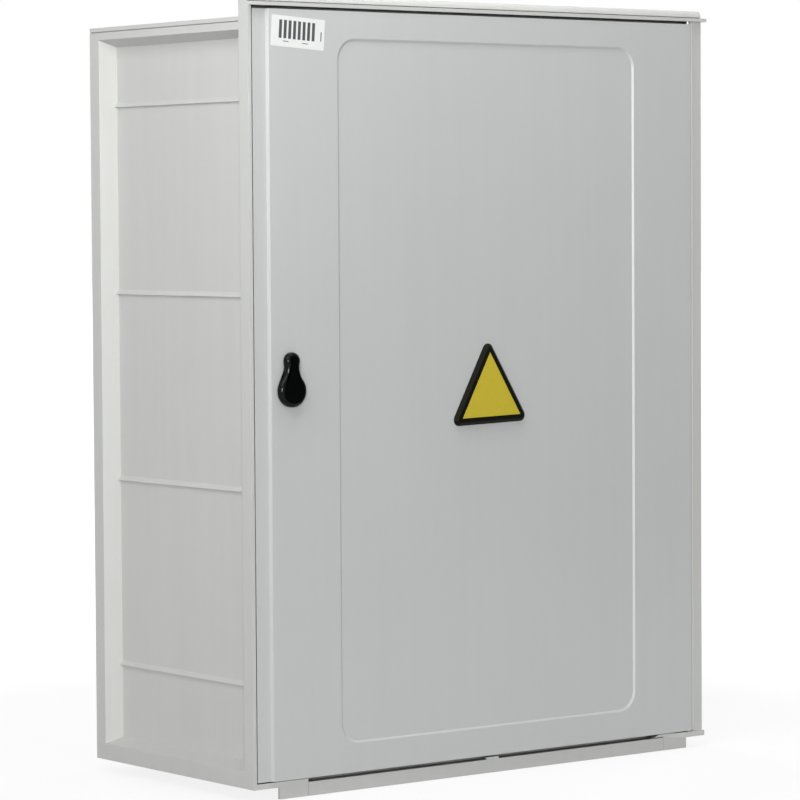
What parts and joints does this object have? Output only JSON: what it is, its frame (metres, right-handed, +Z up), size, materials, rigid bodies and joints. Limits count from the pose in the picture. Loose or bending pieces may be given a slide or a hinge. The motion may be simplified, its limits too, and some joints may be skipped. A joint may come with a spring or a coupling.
{
  "type": "electricity meter cabinet",
  "caption": "Wall cabinet for an electricity meter: pressed polyester tub with ribbed sides, hooded frame, hinged door with a rod lock under a swinging cover, fitted mounting panel",
  "frame": {"origin": "middle of the four wall-fixing holes, on the face that lies on the wall", "axes": "+Z up, +Y into the wall so that the door faces -Y, +X to the right seen from the front"},
  "size_m": [0.755, 0.3712, 0.999],
  "materials": {
    "shell": "light grey pressed polyester with a faint texture",
    "door": "grey pressed polyester with a faint texture",
    "rubber": "black rubber",
    "zinc": "zinc-plated steel",
    "steel": "bare steel",
    "board": "grey laminate board",
    "meter_case": "off-white moulded plastic",
    "gear": "grey moulded plastic",
    "pane": "clear pane",
    "display": "grey-green display unit",
    "button": "blue plastic",
    "black_plastic": "black moulded plastic",
    "black_gloss": "glossy black plastic",
    "plaque_black": "black moulded plastic",
    "plaque_yellow": "yellow plastic",
    "ceramic": "off-white glazed ceramic",
    "brass": "plain brass"
  },
  "bodies": {
    "cabinet": {"back_panel": "shell", "side_panel_left": "shell", "side_panel_right": "shell", "roof_panel": "shell", "floor_panel": "shell", "front_frame": "shell", "vent_strip": "shell", "door_seal": "rubber", "panel_screws": "zinc", "frame_screws": "zinc", "hinge_pins": "steel", "rod_keepers": "steel", "cable_grommets": "rubber", "mounting_panel": "board", "panel_standoffs": "zinc", "panel_bolts": "zinc", "meter_base": "meter_case", "meter_cover": "meter_case", "meter_window": "pane", "meter_display": "display", "meter_terminal_cover": "gear", "meter_screws": "brass", "din_rail": "zinc", "rail_screws": "zinc", "switch_body": "meter_case", "fuse_bases": "gear", "fuse_links": "ceramic", "terminal_block": "gear", "terminal_screws": "brass", "earth_bar": "brass", "bar_insulators": "ceramic", "bar_screws": "zinc"},
    "door": {"door_shell": "door", "lock_barrel": "steel", "lock_nut": "zinc", "rod_guides": "black_plastic", "cover_pin": "steel", "plaque_base": "plaque_black", "plaque_face": "plaque_yellow"},
    "lock_cam": {"lock_spindle": "steel", "cam_plate": "zinc", "cam_screw": "zinc"},
    "rod_upper": {"rod_upper": "steel"},
    "rod_lower": {"rod_lower": "steel"},
    "lock_cover": {"lock_cover": "black_gloss"},
    "meter_button": {"meter_button": "button"},
    "switch_toggle": {"switch_toggle": "black_plastic"}
  },
  "joints": [
    {"name": "door_swing", "type": "hinge", "parent": "cabinet", "child": "door", "pos_m": [0.3505, -0.3565, 0], "axis": [0, 0, 1], "range_deg": [0, 120]},
    {"name": "lock_turn", "type": "hinge", "parent": "door", "child": "lock_cam", "pos_m": [-0.319, -0.34, 0.016], "axis": [0, -1, 0], "range_deg": [0, 90]},
    {"name": "rod_upper_slide", "type": "slide", "parent": "door", "child": "rod_upper", "axis": [0, 0, 1], "range_m": [0, 0.01556]},
    {"name": "rod_lower_slide", "type": "slide", "parent": "door", "child": "rod_lower", "axis": [0, 0, -1], "range_m": [0, 0.01556]},
    {"name": "cover_swing", "type": "hinge", "parent": "door", "child": "lock_cover", "pos_m": [-0.319, -0.365, 0.053], "axis": [0, -1, 0], "range_deg": [-100, 100]},
    {"name": "button_press", "type": "slide", "parent": "cabinet", "child": "meter_button", "axis": [0, 1, 0], "range_m": [0, 0.0025], "stiffness_N_per_m": 300},
    {"name": "toggle_tip", "type": "hinge", "parent": "cabinet", "child": "switch_toggle", "pos_m": [-0.128, -0.108, -0.09], "axis": [-1, 0, 0], "range_deg": [0, 50]}
  ],
  "couplings": [
    {"joint": "lock_turn", "follows": "rod_upper_slide", "rad_per_m": 100.97},
    {"joint": "rod_lower_slide", "follows": "rod_upper_slide", "ratio": 1}
  ]
}
